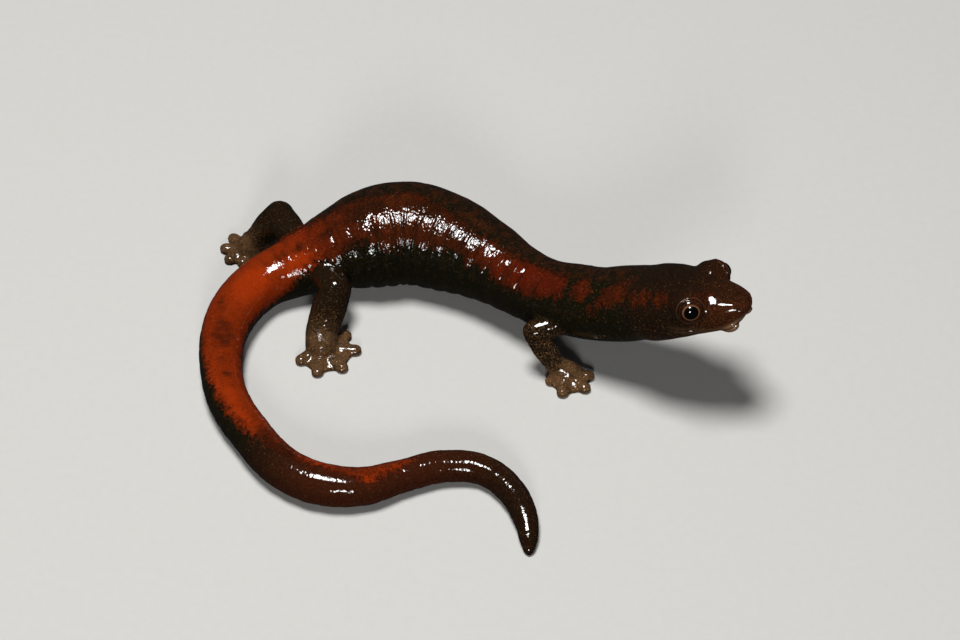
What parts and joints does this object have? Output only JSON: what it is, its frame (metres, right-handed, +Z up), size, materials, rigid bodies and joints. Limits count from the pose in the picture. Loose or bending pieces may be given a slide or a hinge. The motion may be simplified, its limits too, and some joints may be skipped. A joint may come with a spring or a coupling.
{
  "type": "la palma salamander model",
  "caption": "Life-size still model of a slim salamander with its head raised, its trunk in a bow and its tail curled round beside it.",
  "frame": {"origin": "On the floor under the middle of the whole animal's box", "axes": "+X towards the end that the head is at, +Y to the animal's left and +Z up; the longest side of the box lies along X and the shortest along Z"},
  "size_m": [0.0537, 0.0425, 0.0152],
  "materials": {
    "skin_head": "wet, brown-black with fine pale speckles",
    "skin_back": "wet, dark brown mottled with red and orange, near-black flank",
    "skin_tail": "wet, orange-red with brown mottles",
    "skin_tail_end": "wet, chocolate brown",
    "skin_limb": "wet, dark grey-brown with fine pale speckles",
    "skin_foot": "wet, pinkish grey-brown",
    "eye": "wet, black with a thin copper rim"
  },
  "bodies": {
    "root": {"head": "skin_head", "eye_left": "eye", "eye_right": "eye", "neck": "skin_back", "torso_front": "skin_back", "torso_middle": "skin_back", "hips": "skin_back", "tail_base": "skin_tail", "tail_bend_front": "skin_tail", "tail_bend_rear": "skin_tail", "tail_end": "skin_tail_end", "tail_tip": "skin_tail_end", "upper_arm_right": "skin_limb", "forearm_right": "skin_limb", "hand_right": "skin_foot", "upper_arm_left": "skin_limb", "forearm_left": "skin_limb", "hand_left": "skin_foot", "thigh_right": "skin_limb", "shank_right": "skin_limb", "foot_right": "skin_foot", "thigh_left": "skin_limb", "shank_left": "skin_limb", "foot_left": "skin_foot"}
  },
  "joints": []
}
